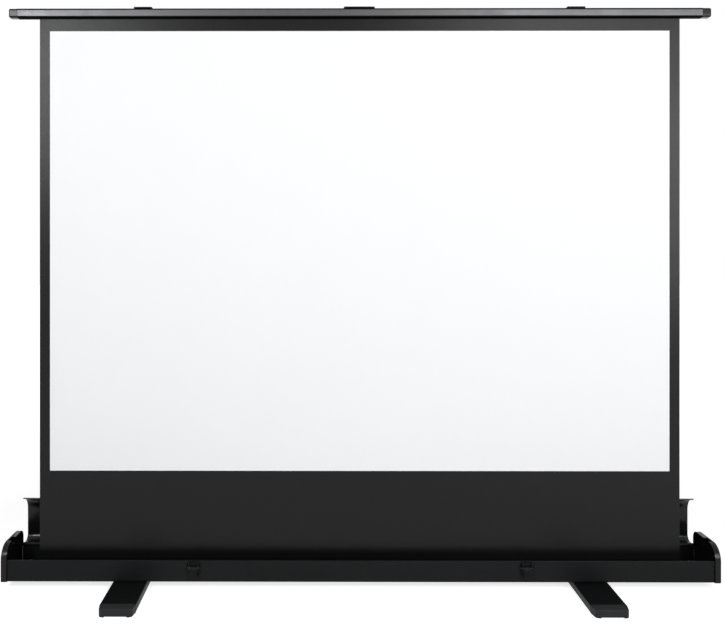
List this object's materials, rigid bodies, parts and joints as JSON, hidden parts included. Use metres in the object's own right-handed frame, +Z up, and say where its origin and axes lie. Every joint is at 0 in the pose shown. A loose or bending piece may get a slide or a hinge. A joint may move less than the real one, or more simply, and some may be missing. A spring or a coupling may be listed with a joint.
{
  "type": "pull up projection screen",
  "caption": "Floor-standing pull up projection screen: folding arms raise a white sheet with black borders out of a long case with a hinged lid, latches and swivel feet.",
  "frame": {"origin": "on the floor below the middle of the case, at the centre of the bounding box's base", "axes": "+X along the screen's length, to the right as the viewer sees it; -Y towards the viewer; +Z up"},
  "size_m": [1.85, 0.437, 1.5128],
  "materials": {
    "case_paint": "satin charcoal paint on extruded aluminium",
    "lid_gloss": "gloss black coating on extruded aluminium",
    "cap_plastic": "gloss black moulding",
    "steel": "zinc plated",
    "latch_plastic": "satin black",
    "foot_paint": "satin charcoal paint",
    "foot_plastic": "matte dark grey",
    "bar_aluminium": "satin dark anodised",
    "arm_aluminium": "satin black anodised",
    "black_fabric": "matte black coated backing",
    "white_fabric": "matte white viewing surface"
  },
  "bodies": {
    "case": {"case_shell": "case_paint", "end_cap_left": "cap_plastic", "end_cap_right": "cap_plastic", "cap_screw_front_left": "steel", "cap_screw_front_right": "steel", "cap_screw_rear_left": "steel", "cap_screw_rear_right": "steel", "roller_bracket_left": "steel", "roller_bracket_right": "steel", "idle_pin": "steel", "spring_mandrel": "steel", "arm_base_left": "steel", "arm_base_right": "steel", "base_pin_left": "steel", "base_pin_right": "steel", "latch_plate_left": "latch_plastic", "latch_plate_right": "latch_plastic", "latch_pin_left": "steel", "latch_pin_right": "steel", "foot_plate_left": "steel", "foot_plate_right": "steel", "foot_bolt_left": "steel", "foot_bolt_right": "steel", "screen_fabric": "black_fabric", "viewing_surface": "white_fabric"},
    "lid": {"lid_shell": "lid_gloss", "latch_keeper_left": "steel", "latch_keeper_right": "steel"},
    "roller": {"roller_tube": "bar_aluminium", "fabric_roll": "black_fabric", "roller_plug_left": "foot_plastic", "roller_plug_right": "foot_plastic", "roller_spring": "steel"},
    "lower_left": {"lower_arm_left": "arm_aluminium", "elbow_pin_left": "steel"},
    "upper_left": {"upper_arm_left": "arm_aluminium"},
    "bar": {"top_bar": "bar_aluminium", "hem_rod": "steel", "bar_end_plug_left": "cap_plastic", "bar_end_plug_right": "cap_plastic", "arm_bracket_left": "cap_plastic", "arm_bracket_right": "cap_plastic", "top_pin_left": "steel", "top_pin_right": "steel", "pull_handle": "cap_plastic"},
    "lower_right": {"lower_arm_right": "arm_aluminium", "elbow_pin_right": "steel"},
    "upper_right": {"upper_arm_right": "arm_aluminium"},
    "left_foot": {"foot_left": "foot_paint", "foot_cap_front_left": "foot_plastic", "foot_cap_rear_left": "foot_plastic"},
    "right_foot": {"foot_right": "foot_paint", "foot_cap_front_right": "foot_plastic", "foot_cap_rear_right": "foot_plastic"},
    "left_lever": {"latch_lever_left": "latch_plastic"},
    "left_bail": {"latch_bail_left": "steel"},
    "right_lever": {"latch_lever_right": "latch_plastic"},
    "right_bail": {"latch_bail_right": "steel"}
  },
  "joints": [
    {"name": "arm_fold", "type": "hinge", "parent": "case", "child": "lower_left", "pos_m": [-0.567, 0, 0.055], "axis": [0, 1, 0], "range_deg": [0, 78.9], "deforming": ["screen_fabric", "viewing_surface"]},
    {"name": "elbow_left", "type": "hinge", "parent": "lower_left", "child": "upper_left", "pos_m": [-0.44049, 0, 0.7725], "axis": [0, 1, 0], "range_deg": [-157.8, 0]},
    {"name": "bar_level", "type": "hinge", "parent": "upper_left", "child": "bar", "pos_m": [-0.567, 0, 1.49], "axis": [0, 1, 0], "range_deg": [0, 78.9]},
    {"name": "arm_fold_right", "type": "hinge", "parent": "case", "child": "lower_right", "pos_m": [0.567, 0, 0.055], "axis": [0, 1, 0], "range_deg": [-78.9, 0]},
    {"name": "elbow_right", "type": "hinge", "parent": "lower_right", "child": "upper_right", "pos_m": [0.44049, 0, 0.7725], "axis": [0, 1, 0], "range_deg": [0, 157.8]},
    {"name": "roller_turn", "type": "hinge", "parent": "case", "child": "roller", "pos_m": [0, -0.027, 0.052], "axis": [1, 0, 0], "continuous": true},
    {"name": "lid_hinge", "type": "hinge", "parent": "case", "child": "lid", "pos_m": [0, 0.06, 0.0775], "axis": [1, 0, 0], "range_deg": [0, 9]},
    {"name": "foot_swivel_left", "type": "hinge", "parent": "case", "child": "left_foot", "pos_m": [-0.594, 0, 0], "axis": [0, 0, 1], "range_deg": [0, 90]},
    {"name": "foot_swivel_right", "type": "hinge", "parent": "case", "child": "right_foot", "pos_m": [0.594, 0, 0], "axis": [0, 0, 1], "range_deg": [-90, 0]},
    {"name": "latch_left", "type": "hinge", "parent": "case", "child": "left_lever", "pos_m": [-0.428, -0.0683, 0.062], "axis": [1, 0, 0], "range_deg": [-120, 0]},
    {"name": "bail_left", "type": "hinge", "parent": "left_lever", "child": "left_bail", "pos_m": [-0.428, -0.0718, 0.055], "axis": [1, 0, 0], "range_deg": [0, 120]},
    {"name": "latch_right", "type": "hinge", "parent": "case", "child": "right_lever", "pos_m": [0.428, -0.0683, 0.062], "axis": [1, 0, 0], "range_deg": [-120, 0]},
    {"name": "bail_right", "type": "hinge", "parent": "right_lever", "child": "right_bail", "pos_m": [0.428, -0.0718, 0.055], "axis": [1, 0, 0], "range_deg": [0, 120]}
  ],
  "couplings": [
    {"joint": "elbow_left", "follows": "arm_fold", "ratio": -2},
    {"joint": "bar_level", "follows": "arm_fold", "ratio": 1},
    {"joint": "arm_fold_right", "follows": "arm_fold", "ratio": -1},
    {"joint": "elbow_right", "follows": "arm_fold", "ratio": 2},
    {"joint": "roller_turn", "follows": "arm_fold", "ratio": -62.5},
    {"joint": "bail_left", "follows": "latch_left", "ratio": -1},
    {"joint": "bail_right", "follows": "latch_right", "ratio": -1}
  ]
}
